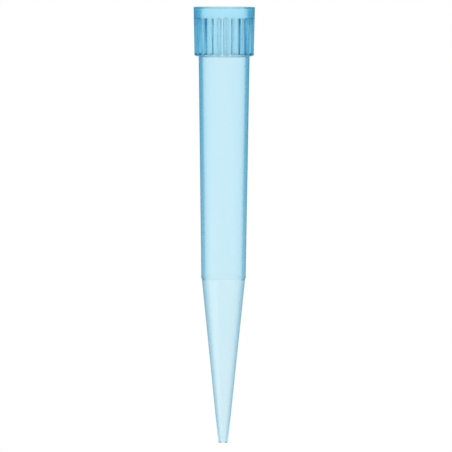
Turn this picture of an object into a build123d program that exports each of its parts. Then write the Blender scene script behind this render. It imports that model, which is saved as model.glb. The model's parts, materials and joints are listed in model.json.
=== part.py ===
from build123d import *
import os

# A one-piece moulded pipette tip for a 1 ml air-displacement pipette, hollow right through.
# It stands on its mouth rim: the origin is the centre of the rim's flat face, and Z runs up
# through the collar, the barrel and the nose cone to the point. Sizes are in millimetres,
# and heights are measured from the mouth rim.

# Heights
overall_length = 71.5
collar_height = 7.95
shoulder_height = 44.2  # the barrel ends here and the nose cone begins

# Nozzle socket: a flared lead-in, then a parallel land that seals on the nozzle
socket_diameter = 7.7
socket_land_length = 2.5
lead_in_length = 0.3
lead_in_flare = 0.1  # on the radius

# Bore below the socket
bore_narrowing = 0.3  # on the radius, from the land to the collar's foot
shoulder_bore_diameter = 6.1
orifice_diameter = 0.75

# Walls, outside the socket and the bore
rim_wall = 1.15
collar_draft = 0.17  # how much less the collar's radius is at its foot than at the rim
barrel_wall = 0.6
shoulder_step = 0.1  # how far the nose cone's outside steps in from the barrel's
shoulder_step_length = 0.3  # the height over which it does
point_wall = 0.425

# Witness line of the mould: a very low ridge round the barrel's end
witness_rise = 0.025
witness_length = 0.1

# Flutes: closed pockets round the collar, which leave broad grip ribs between them
flute_count = 22
flute_mouth_width = 0.6
flute_floor_width = 0.3
flute_back_wall = 0.6  # plastic left between a flute's floor and the socket
plain_ring_height = 1.75  # from the rim to the flutes
foot_ring_height = 0.3  # from the flutes to the collar's foot
cutter_overrun = 1.0  # how far the flutes' cutter stands out past the rim

# Rounded edges
rim_edge_radius = 0.1
collar_edge_radius = 0.22
barrel_root_radius = 0.12

socket_radius = socket_diameter / 2
mouth_radius = socket_radius + lead_in_flare
rim_radius = socket_radius + rim_wall
bore_radius = socket_radius - bore_narrowing
barrel_radius = bore_radius + barrel_wall
shoulder_bore_radius = shoulder_bore_diameter / 2
shoulder_radius = shoulder_bore_radius + barrel_wall
nose_root_radius = shoulder_radius - shoulder_step
orifice_radius = orifice_diameter / 2
point_radius = orifice_radius + point_wall


def body_section():
    """The section on one side of the axis: up the outside to the point, then back down the bore."""
    rim_edge = (rim_radius, 0)
    collar_edge = (rim_radius - collar_draft, collar_height)
    barrel_root = (barrel_radius, collar_height)
    outline = Polyline(
        (mouth_radius, 0),
        rim_edge,
        collar_edge,
        barrel_root,
        (shoulder_radius, shoulder_height - witness_length),
        (shoulder_radius + witness_rise, shoulder_height),
        (nose_root_radius, shoulder_height + shoulder_step_length),
        (point_radius, overall_length),
        (orifice_radius, overall_length),
        (shoulder_bore_radius, shoulder_height),
        (bore_radius, collar_height),
        (socket_radius, lead_in_length + socket_land_length),
        (socket_radius, lead_in_length),
        close=True,
    )
    section = make_face(outline)
    for corner, radius in (
        (rim_edge, rim_edge_radius),
        (collar_edge, collar_edge_radius),
        (barrel_root, barrel_root_radius),
    ):
        section = fillet(section.vertices().sort_by_distance(corner)[0], radius)
    return Plane.XZ * section


def flute():
    """The cutter for one flute, on the +X side. Its flanks spread outwards from the floor."""
    floor = socket_radius + flute_back_wall
    flank_slope = (flute_mouth_width - flute_floor_width) / 2 / (rim_radius - floor)
    reach = rim_radius + cutter_overrun
    inner = flute_floor_width / 2
    outer = inner + flank_slope * (reach - floor)
    corners = [(floor, -inner), (reach, -outer), (reach, outer), (floor, inner)]
    outline = make_face(Polyline(corners, close=True))
    height = collar_height - foot_ring_height - plain_ring_height
    return Pos(0, 0, plain_ring_height) * extrude(outline, height)


def pipette_tip():
    """The whole moulding: the round body less its flutes, with a rib facing +X."""
    body = revolve(body_section(), Axis.Z)
    pitch = 360 / flute_count
    return body - [Rot(0, 0, pitch * (k + 0.5)) * flute() for k in range(flute_count)]


os.makedirs("parts", exist_ok=True)
tip = pipette_tip().solid()
tip.label = "pipette_tip"
export_step(tip, "parts/pipette_tip.step")
print("volume", round(tip.volume, 2), "cubic mm, valid:", tip.is_valid)
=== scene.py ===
import json
import math

import bpy
from mathutils import Matrix, Vector

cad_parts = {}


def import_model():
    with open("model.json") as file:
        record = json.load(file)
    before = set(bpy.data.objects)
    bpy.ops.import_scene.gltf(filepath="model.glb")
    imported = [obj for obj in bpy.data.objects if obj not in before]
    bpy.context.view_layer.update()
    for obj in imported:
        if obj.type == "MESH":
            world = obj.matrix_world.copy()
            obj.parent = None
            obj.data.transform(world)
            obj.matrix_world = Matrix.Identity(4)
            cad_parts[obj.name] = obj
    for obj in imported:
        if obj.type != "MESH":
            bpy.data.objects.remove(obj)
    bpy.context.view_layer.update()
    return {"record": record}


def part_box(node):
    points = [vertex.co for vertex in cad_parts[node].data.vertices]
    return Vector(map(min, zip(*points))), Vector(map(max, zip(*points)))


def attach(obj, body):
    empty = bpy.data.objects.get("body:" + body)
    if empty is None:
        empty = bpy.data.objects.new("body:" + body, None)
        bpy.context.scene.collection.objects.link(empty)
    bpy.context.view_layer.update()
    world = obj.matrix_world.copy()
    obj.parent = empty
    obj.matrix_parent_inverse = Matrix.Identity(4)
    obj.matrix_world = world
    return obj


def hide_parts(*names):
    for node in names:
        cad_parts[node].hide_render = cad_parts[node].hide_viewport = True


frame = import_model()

# A moulded pipette tip that stands on its mouth rim. Everything is in metres, in the frame of
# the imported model: the origin is the centre of the rim's face, and Z runs up to the point.

MM = 0.001
NODE = "pipette_tip"
low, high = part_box(NODE)
nozzle_socket = next(m for m in frame["record"]["mounts"] if m["name"] == "nozzle_socket")

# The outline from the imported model, and the socket from its mount
overall_length = high.z - low.z
rim_radius = min(-low.x, high.x, -low.y, high.y)
socket_radius = nozzle_socket["dims"]["r_mm"] * MM
socket_land = nozzle_socket["dims"]["length_mm"] * MM
lead_in = nozzle_socket["pos_m"][2] - socket_land / 2
lead_in_flare = 0.1 * MM

# Collar, barrel, shoulder and nose cone; heights are measured from the mouth rim
collar_height = 7.95 * MM
collar_draft = 0.17 * MM  # how much less the collar's radius is at its foot than at the rim
shoulder_height = 44.2 * MM
shoulder_step = 0.1 * MM
shoulder_step_length = 0.3 * MM
witness_rise = 0.025 * MM  # a very low ridge round the barrel's end
witness_length = 0.1 * MM
barrel_wall = 0.6 * MM
bore_narrowing = 0.3 * MM  # on the radius, from the socket's land to the collar's foot
bore_radius = socket_radius - bore_narrowing
shoulder_bore_radius = 3.05 * MM
orifice_radius = 0.375 * MM
point_wall = 0.425 * MM
point_radius = orifice_radius + point_wall
barrel_radius = bore_radius + barrel_wall
shoulder_radius = shoulder_bore_radius + barrel_wall
nose_root_radius = shoulder_radius - shoulder_step
nose_root_height = shoulder_height + shoulder_step_length

# Flutes
flute_count = 22
flute_mouth_width = 0.6 * MM
flute_floor_width = 0.3 * MM
flute_back_wall = 0.6 * MM  # plastic left between a flute's floor and the socket
flute_floor_radius = socket_radius + flute_back_wall
plain_ring_height = 1.75 * MM
foot_ring_height = 0.3 * MM
flute_end_round = 0.14 * MM

# Rounded edges
mouth_edge = 0.05 * MM
rim_edge = 0.1 * MM
collar_edge = 0.22 * MM
barrel_root = 0.12 * MM
witness_edge = 0.01 * MM
point_edge = 0.05 * MM

# Mesh: how many rows follow a corner of the section, and how the columns stand round the axis
collar_rows = 6
barrel_rows = 14
nose_rows = 10
socket_rows = 2
flute_end_steps = 5
arc_step = 15  # degrees of a rounded edge's arc for each row, about
support_gap = 0.06 * MM  # rows this near each rounded edge keep long faces evenly shaded
columns_per_flute = 28
columns_in_flutes = 0.72  # share of the columns that lie in the flutes
flute_zone = 1.06  # width that those columns cover, against the flute's mouth
weld_distance = 1e-7

# The view
camera_distance = 500 * MM
camera_drop = 9 * MM  # below the plane of the mouth rim
view_width = 73.97 * MM  # the width in view at the tip's axis
view_height_on_axis = 35.75 * MM
view_turn = -3.8  # degrees round the axis, from the front
view_lean = 0.16  # degrees
view_shift_x = 0.0052
sensor_width = 36.0  # in millimetres, as the camera takes it
clip_start = 0.05
clip_end = 50.0

# The plastic: clear, and bluer the further light goes through it
plastic_ior = 1.49
absorption_colour = (0.12, 0.82, 1.0, 1.0)
absorption_density = 350.0
collar_haze = 0.16  # how rough the textured collar is
barrel_haze = 0.12
haze_changes_from = collar_height - 0.3 * MM
haze_changes_to = collar_height + 0.1 * MM

# Its flow marks run along the axis, and a fine grain lies over them
flow_scale = (900.0, 900.0, 90.0)
flow_tints = ((0.95, 0.985, 1.0, 1.0), (1.0, 1.0, 1.0, 1.0))
grain_scale = 2600.0
grain_detail = 2.0
grain_range = (0.3, 0.7)
grain_haze = (-0.02, 0.04)  # what the grain adds to the haze, over that range
grain_in_bump = 0.35
bump_strength = 0.12
bump_distance = 0.05 * MM

# The room: white near level, dimmer high up and low down. Each bounce inside the plastic
# leaves a share of the light: less where it leaves level, more where it leaves upwards.
white_up_to = 5  # degrees above or below level
dimmer_from = 20
dimmer_level = 0.8
level_share = (0.17, 0.5, 0.68)  # for red, green and blue
rising_share = (0.9, 0.96, 0.98)
level_up_to = 3  # degrees
rising_from = 14
room_level = 0.6  # what the room gives to all that isn't seen directly or through the plastic

# The floor
floor_half_width = 12.0
floor_gap = 0.02 * MM  # how far it lies below the mouth rim
floor_colour = (0.97, 0.97, 0.97, 1.0)
floor_fades_from = 0.25  # distances from the tip between which it fades into the white room
floor_faded_at = 1.5

# Lamps: name, azimuth, elevation and width in degrees, strength
LAMPS = (
    ("key_light", -35.0, 50.0, 50.0, 0.9),
    ("fill_light", 60.0, 35.0, 60.0, 0.5),
)


# ---------------------------------------------------------------- section

def collar_radius(height):
    """The radius of the collar's outside, which narrows towards its foot."""
    return rim_radius - collar_draft * height / collar_height


def flute_share(height):
    """The share of a flute's full depth that it has at a height: its ends are rounded."""
    from_ends = min(height - plain_ring_height, collar_height - foot_ring_height - height)
    share = min(max(from_ends / flute_end_round, 0.0), 1.0)
    return share * share * (3 - 2 * share)


def rounded(before, corner, after, radius):
    """Points on the arc that rounds a corner off, with this radius."""
    back, on = (before - corner).normalized(), (after - corner).normalized()
    half = back.angle(on) / 2
    centre = corner + (back + on).normalized() * radius / math.sin(half)
    reach = radius / math.tan(half)
    first, last = corner + back * reach - centre, corner + on * reach - centre
    start = math.atan2(first.y, first.x)
    turn = (math.atan2(last.y, last.x) - start + math.pi) % math.tau - math.pi
    steps = max(2, round(abs(turn) / math.radians(arc_step)))
    angles = [start + turn * k / steps for k in range(steps + 1)]
    return [centre + Vector((math.cos(a), math.sin(a))) * radius for a in angles]


def stretch(start, end, rows):
    """Points along a straight stretch: evenly spaced rows, and one row close to each end."""
    length = (end - start).length
    if length < 3 * support_gap:
        return []
    even = [length * k / (rows + 1) for k in range(1, rows + 1)]
    stops = [support_gap] + even + [length - support_gap]
    return [start.lerp(end, stop / length) for stop in stops]


def section():
    """A loop of points in the plane of radius and height: up the outside, then down the bore."""
    steps_in = [flute_end_round * k / flute_end_steps for k in range(flute_end_steps + 1)]
    flute_starts = [plain_ring_height + step for step in steps_in]
    flute_ends = [collar_height - foot_ring_height - step for step in reversed(steps_in)]
    # Each corner's radius, height and rounding, and how many even rows follow it
    corners = [
        (socket_radius + lead_in_flare, 0.0, mouth_edge, 0),
        (rim_radius, 0.0, rim_edge, 0),
    ]
    for height in flute_starts + flute_ends:
        rows = collar_rows if height == flute_starts[-1] else 0
        corners.append((collar_radius(height), height, 0.0, rows))
    corners += [
        (collar_radius(collar_height), collar_height, collar_edge, 0),
        (barrel_radius, collar_height, barrel_root, barrel_rows),
        (shoulder_radius, shoulder_height - witness_length, witness_edge, 0),
        (shoulder_radius + witness_rise, shoulder_height, witness_edge, 0),
        (nose_root_radius, nose_root_height, witness_edge, nose_rows),
        (point_radius, overall_length, point_edge, 0),
        (orifice_radius, overall_length, point_edge, nose_rows),
        (shoulder_bore_radius, shoulder_height, 0.0, barrel_rows),
        (bore_radius, collar_height, 0.0, socket_rows),
        (socket_radius, lead_in + socket_land, 0.0, socket_rows),
        (socket_radius, lead_in, 0.0, 0),
    ]
    places = [Vector(corner[:2]) for corner in corners]
    turns = []
    for k, (_, _, rounding, _) in enumerate(corners):
        before, place, after = places[k - 1], places[k], places[(k + 1) % len(places)]
        turns.append(rounded(before, place, after, rounding) if rounding else [place])
    points = []
    for k, (_, _, _, rows) in enumerate(corners):
        after = turns[(k + 1) % len(turns)]
        points += turns[k] + stretch(turns[k][-1], after[0], rows)
    return points + points[:1]


def section_mesh():
    """The section's points, each with the share of a flute's depth that it takes."""
    points = section()
    mesh = bpy.data.meshes.new("tip_section")
    mesh.from_pydata([(p.x, 0.0, p.y) for p in points], [], [])
    shares = [flute_share(p.y) if p.x > barrel_radius else 0.0 for p in points]
    mesh.attributes.new("flute_share", "FLOAT", "POINT").data.foreach_set("value", shares)
    return mesh


# ---------------------------------------------------------------- node trees

# The mix node's sockets for each kind of value: first, second and result
MIX_SOCKETS = {"FLOAT": (2, 3, 0), "RGBA": (6, 7, 2)}


class Tree:
    """A node tree with short ways to add nodes, sums and mixes."""

    def __init__(self, tree):
        self.tree = tree

    def add(self, kind, *links, **settings):
        """A new node. Each link is an input's name or number, with what goes into it."""
        node = self.tree.nodes.new(kind)
        for name, value in settings.items():
            setattr(node, name, value)
        for key, source in links:
            self.feed(node.inputs[key], source)
        return node

    def feed(self, target, source):
        """Links another node's output to an input, or sets a constant on it."""
        if isinstance(source, bpy.types.NodeSocket):
            self.tree.links.new(source, target)
        else:
            target.default_value = source

    def math(self, operation, *values):
        """One step of arithmetic on outputs or constants."""
        links = list(enumerate(values))
        return self.add("ShaderNodeMath", *links, operation=operation).outputs[0]

    def map(self, value, low_in, high_in, low_out, high_out, kind="LINEAR"):
        """A value taken from one range to another, and held at its ends."""
        links = (
            ("Value", value),
            ("From Min", low_in),
            ("From Max", high_in),
            ("To Min", low_out),
            ("To Max", high_out),
        )
        return self.add("ShaderNodeMapRange", *links, interpolation_type=kind).outputs["Result"]

    def mix(self, kind, factor, first, second):
        """A mix of two numbers ("FLOAT") or of two colours ("RGBA")."""
        first_at, second_at, result_at = MIX_SOCKETS[kind]
        links = ((0, factor), (first_at, first), (second_at, second))
        return self.add("ShaderNodeMix", *links, data_type=kind).outputs[result_at]


MOULDING_INPUTS = (
    ("Flute Count", "NodeSocketInt", flute_count),
    ("Columns per Flute", "NodeSocketInt", columns_per_flute),
    ("Flute Mouth Width", "NodeSocketFloat", flute_mouth_width),
    ("Flute Floor Width", "NodeSocketFloat", flute_floor_width),
    ("Flute Floor Radius", "NodeSocketFloat", flute_floor_radius),
    ("Rim Radius", "NodeSocketFloat", rim_radius),
    ("Columns in Flutes", "NodeSocketFloat", columns_in_flutes),
    ("Flute Zone", "NodeSocketFloat", flute_zone),
    ("Weld Distance", "NodeSocketFloat", weld_distance),
)


def moulding_tree(material):
    """Turns the section round the axis and presses the flutes into the collar."""
    group = bpy.data.node_groups.new("moulded_tip", "GeometryNodeTree")
    group.interface.new_socket("Section", in_out="INPUT", socket_type="NodeSocketGeometry")
    for name, kind, _ in MOULDING_INPUTS:
        group.interface.new_socket(name, in_out="INPUT", socket_type=kind)
    group.interface.new_socket("Tip", in_out="OUTPUT", socket_type="NodeSocketGeometry")
    t = Tree(group)
    given = t.add("NodeGroupInput").outputs

    # One grid vertex for each column round the axis and each point of the section
    columns = t.math("MULTIPLY", given["Flute Count"], given["Columns per Flute"])
    section_in = ("Geometry", given["Section"])
    size = t.add("GeometryNodeAttributeDomainSize", section_in, component="MESH")
    rows = size.outputs["Point Count"]
    last_row = t.math("SUBTRACT", rows, 1.0)
    grid = t.add(
        "GeometryNodeMeshGrid",
        ("Size X", columns),
        ("Size Y", last_row),
        ("Vertices X", t.math("ADD", columns, 1.0)),
        ("Vertices Y", rows),
    )
    place = t.add("ShaderNodeSeparateXYZ", (0, t.add("GeometryNodeInputPosition").outputs[0]))
    column = t.math("ADD", place.outputs["X"], t.math("DIVIDE", columns, 2.0))
    column = t.math("ROUND", column)
    row = t.math("ADD", place.outputs["Y"], t.math("DIVIDE", last_row, 2.0))
    row = t.math("ROUND", row)

    # The angle of each column. Columns crowd into the flutes, where the surface turns most.
    pitch = t.math("DIVIDE", math.tau, given["Flute Count"])
    pitches = t.math("DIVIDE", column, given["Columns per Flute"])
    flute = t.math("FLOOR", pitches)
    from_flute = t.math("SUBTRACT", t.math("MULTIPLY", t.math("FRACT", pitches), 2.0), 1.0)
    far = t.math("ABSOLUTE", from_flute)
    mouth_half = t.math("DIVIDE", given["Flute Mouth Width"], 2.0)
    zone_half = t.math("MULTIPLY", mouth_half, given["Flute Zone"])
    zone_angle = t.math("DIVIDE", zone_half, given["Rim Radius"])
    rib_angle = t.math("SUBTRACT", t.math("DIVIDE", pitch, 2.0), zone_angle)
    share = given["Columns in Flutes"]
    in_flute = t.map(far, 0.0, share, 0.0, zone_angle)
    in_rib = t.map(far, share, 1.0, 0.0, rib_angle)
    offset = t.math("ADD", in_flute, in_rib)
    signed = t.math("MULTIPLY", offset, t.math("SIGN", from_flute))
    angle = t.math("ADD", t.math("MULTIPLY", t.math("ADD", flute, 0.5), pitch), signed)

    # The section's point for each row
    def sampled(value, kind):
        node = t.add("GeometryNodeSampleIndex", section_in, data_type=kind, domain="POINT")
        t.feed(node.inputs["Value"], value)
        t.feed(node.inputs["Index"], row)
        return node.outputs["Value"]

    point = sampled(t.add("GeometryNodeInputPosition").outputs[0], "FLOAT_VECTOR")
    radius, _, height = t.add("ShaderNodeSeparateXYZ", (0, point)).outputs
    named = t.add("GeometryNodeInputNamedAttribute", ("Name", "flute_share"), data_type="FLOAT")
    depth_share = sampled(named.outputs["Attribute"], "FLOAT")

    # The flute pressed in at this column: deepest over its floor, with eased flanks
    across = t.math("MULTIPLY", offset, radius)
    floor_half = t.math("DIVIDE", given["Flute Floor Width"], 2.0)
    pressed = t.map(across, floor_half, mouth_half, 1.0, 0.0, "SMOOTHSTEP")
    full_depth = t.math("MAXIMUM", t.math("SUBTRACT", radius, given["Flute Floor Radius"]), 0.0)
    depth = t.math("MULTIPLY", t.math("MULTIPLY", pressed, full_depth), depth_share)
    reach = t.math("SUBTRACT", radius, depth)
    spot = t.add(
        "ShaderNodeCombineXYZ",
        ("X", t.math("MULTIPLY", reach, t.math("COSINE", angle))),
        ("Y", t.math("MULTIPLY", reach, t.math("SINE", angle))),
        ("Z", height),
    )

    # Each vertex put in its place, the seams welded, and the whole shaded and painted
    shape = grid.outputs["Mesh"]
    for kind, links in (
        ("GeometryNodeSetPosition", [("Position", spot.outputs[0])]),
        ("GeometryNodeMergeByDistance", [("Distance", given["Weld Distance"])]),
        ("GeometryNodeSetShadeSmooth", []),
        ("GeometryNodeRealizeInstances", []),
        ("GeometryNodeSetMaterial", [("Material", material)]),
    ):
        shape = t.add(kind, ("Geometry", shape), *links).outputs[0]
    t.add("NodeGroupOutput", ("Tip", shape))
    return group


def set_inputs(modifier, values):
    """Sets a modifier's inputs by their sockets' identifiers."""
    sockets = modifier.node_group.interface.items_tree
    identifiers = {s.name: s.identifier for s in sockets if s.in_out == "INPUT"}
    for name, value in values:
        modifier[identifiers[name]] = value


def moulded_tip(material):
    """The tip as one closed mesh."""
    maker = bpy.data.objects.new("tip_maker", section_mesh())
    bpy.context.scene.collection.objects.link(maker)
    modifier = maker.modifiers.new("moulding", "NODES")
    modifier.node_group = moulding_tree(material)
    set_inputs(modifier, [(name, value) for name, _, value in MOULDING_INPUTS])
    bpy.context.view_layer.update()
    shaped = maker.evaluated_get(bpy.context.evaluated_depsgraph_get())
    mesh = bpy.data.meshes.new_from_object(shaped)
    mesh.name = "moulded_tip"
    maker.modifiers.remove(modifier)
    bpy.data.objects.remove(maker)
    # The outside has more area than the bore, so most of the area faces away from the axis
    if sum(p.center.xy.dot(p.normal.xy) * p.area for p in mesh.polygons) < 0:
        mesh.flip_normals()
    tip = bpy.data.objects.new("moulded_tip", mesh)
    bpy.context.scene.collection.objects.link(tip)
    return tip


# ---------------------------------------------------------------- materials

def blue_polypropylene():
    """Clear blue plastic, hazier in the collar, with the faint flow marks of a moulding."""
    material = bpy.data.materials.new("blue_polypropylene")
    material.use_nodes = True
    t = Tree(material.node_tree)
    shader = material.node_tree.nodes["Principled BSDF"]
    output = material.node_tree.nodes["Material Output"]
    where = t.add("ShaderNodeTexCoord").outputs["Object"]

    def noise(place, scale):
        links = (("Vector", place), ("Scale", scale), ("Detail", grain_detail))
        return t.add("ShaderNodeTexNoise", *links).outputs["Fac"]

    # The flow marks are drawn out along the axis by the mapping, which also scales them
    drawn_out = t.add("ShaderNodeMapping", ("Vector", where), ("Scale", flow_scale))
    flow = noise(drawn_out.outputs[0], 1.0)
    grain = noise(where, grain_scale)
    height = t.add("ShaderNodeSeparateXYZ", (0, where)).outputs["Z"]
    haze = t.map(height, haze_changes_from, haze_changes_to, collar_haze, barrel_haze)
    relief = t.math("ADD", flow, t.math("MULTIPLY", grain, grain_in_bump))
    bump = t.add(
        "ShaderNodeBump",
        ("Height", relief),
        ("Strength", bump_strength),
        ("Distance", bump_distance),
    )
    for name, source in (
        ("Base Color", t.mix("RGBA", flow, *flow_tints)),
        ("Roughness", t.math("ADD", haze, t.map(grain, *grain_range, *grain_haze))),
        ("Normal", bump.outputs[0]),
        ("Transmission Weight", 1.0),
        ("IOR", plastic_ior),
    ):
        t.feed(shader.inputs[name], source)
    absorb = t.add(
        "ShaderNodeVolumeAbsorption",
        ("Color", absorption_colour),
        ("Density", absorption_density),
    )
    t.feed(output.inputs["Volume"], absorb.outputs[0])
    return material


def one_way_floor():
    """Pale, but clear from below, so that a camera below the floor sees the mouth.
    Far from the tip it fades into the white room."""
    material = bpy.data.materials.new("pale_floor")
    material.use_nodes = True
    t = Tree(material.node_tree)
    nodes = material.node_tree.nodes
    nodes.remove(nodes["Principled BSDF"])
    pale = t.add("ShaderNodeBsdfDiffuse", ("Color", floor_colour))
    clear = t.add("ShaderNodeBsdfTransparent")
    place = t.add("ShaderNodeTexCoord").outputs["Object"]
    distance = t.add("ShaderNodeVectorMath", (0, place), operation="LENGTH").outputs["Value"]
    faded = t.map(distance, floor_fades_from, floor_faded_at, 0.0, 1.0)
    from_below = t.add("ShaderNodeNewGeometry").outputs["Backfacing"]
    missing = t.math("MAXIMUM", faded, from_below)
    mix = t.add("ShaderNodeMixShader", (0, missing), (1, pale.outputs[0]), (2, clear.outputs[0]))
    t.feed(nodes["Material Output"].inputs["Surface"], mix.outputs[0])
    return material


# ---------------------------------------------------------------- studio

def floor():
    """A wide floor just below the mouth rim. The plastic neither shows nor mirrors it."""
    mesh = bpy.data.meshes.new("floor")
    signs = [(-1, -1), (1, -1), (1, 1), (-1, 1)]
    corners = [(x * floor_half_width, y * floor_half_width, -floor_gap) for x, y in signs]
    mesh.from_pydata(corners, [], [(0, 1, 2, 3)])
    mesh.materials.append(one_way_floor())
    plane = bpy.data.objects.new("floor", mesh)
    bpy.context.scene.collection.objects.link(plane)
    plane.visible_transmission = False
    plane.visible_glossy = False


def world():
    """White to the camera. Seen through the plastic it is white near level and dimmer above and
    below, and each bounce inside the walls leaves it dimmer and bluer."""
    made = bpy.data.worlds.new("studio")
    made.use_nodes = True
    made.cycles.sampling_method = "NONE"
    t = Tree(made.node_tree)
    path = t.add("ShaderNodeLightPath").outputs
    through = t.math("MAXIMUM", path["Is Glossy Ray"], path["Is Transmission Ray"])
    direction = t.add("ShaderNodeTexCoord").outputs["Generated"]
    upward = t.add("ShaderNodeSeparateXYZ", (0, direction)).outputs["Z"]

    def by_angle(rise, low_angle, high_angle, low_value, high_value):
        """A value that changes between two angles above level, in degrees."""
        low_sine = math.sin(math.radians(low_angle))
        high_sine = math.sin(math.radians(high_angle))
        return t.map(rise, low_sine, high_sine, low_value, high_value)

    off_level = t.math("ABSOLUTE", upward)
    white = by_angle(off_level, white_up_to, dimmer_from, 1.0, dimmer_level)
    level = t.mix("FLOAT", through, room_level, white)
    seen = t.mix("FLOAT", path["Is Camera Ray"], level, 1.0)
    colour = t.add("ShaderNodeCombineColor")
    for channel, (flat, rising) in enumerate(zip(level_share, rising_share)):
        share = by_angle(upward, level_up_to, rising_from, flat, rising)
        t.feed(colour.inputs[channel], t.math("POWER", share, path["Glossy Depth"]))
    background = made.node_tree.nodes["Background"]
    t.feed(background.inputs["Color"], colour.outputs[0])
    t.feed(background.inputs["Strength"], seen)
    bpy.context.scene.world = made


def sun(name, azimuth, elevation, width, strength):
    """A wide soft lamp far off. An azimuth of 0 is the front."""
    lamp = bpy.data.lights.new(name, "SUN")
    lamp.energy = strength
    lamp.angle = math.radians(width)
    holder = bpy.data.objects.new(name, lamp)
    a, e = math.radians(azimuth), math.radians(elevation)
    toward = Vector((math.sin(a) * math.cos(e), -math.cos(a) * math.cos(e), math.sin(e)))
    holder.rotation_euler = toward.to_track_quat("Z", "Y").to_euler()
    bpy.context.scene.collection.objects.link(holder)


def camera():
    """Looks from just below the mouth's plane, upside down, so that the point hangs down."""
    a = math.radians(view_turn)
    place = Vector((math.sin(a) * camera_distance, -math.cos(a) * camera_distance, -camera_drop))
    target = Vector((0.0, 0.0, view_height_on_axis))
    forward = (target - place).normalized()
    right = forward.cross(Vector((0.0, 0.0, -1.0))).normalized()
    up = right.cross(forward)
    lean = Matrix.Rotation(math.radians(view_lean), 3, "Z")
    turn = Matrix((right, up, -forward)).transposed() @ lean
    data = bpy.data.cameras.new("camera")
    data.sensor_width = sensor_width
    data.lens = sensor_width * (target - place).length / view_width
    data.shift_x = view_shift_x
    data.clip_start = clip_start
    data.clip_end = clip_end
    holder = bpy.data.objects.new("camera", data)
    holder.matrix_world = Matrix.Translation(place) @ turn.to_4x4()
    bpy.context.scene.collection.objects.link(holder)
    bpy.context.scene.camera = holder


bpy.context.scene.view_settings.view_transform = "Standard"
camera()
world()
floor()
for lamp in LAMPS:
    sun(*lamp)

tip = moulded_tip(blue_polypropylene())
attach(tip, "root")
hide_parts(NODE)
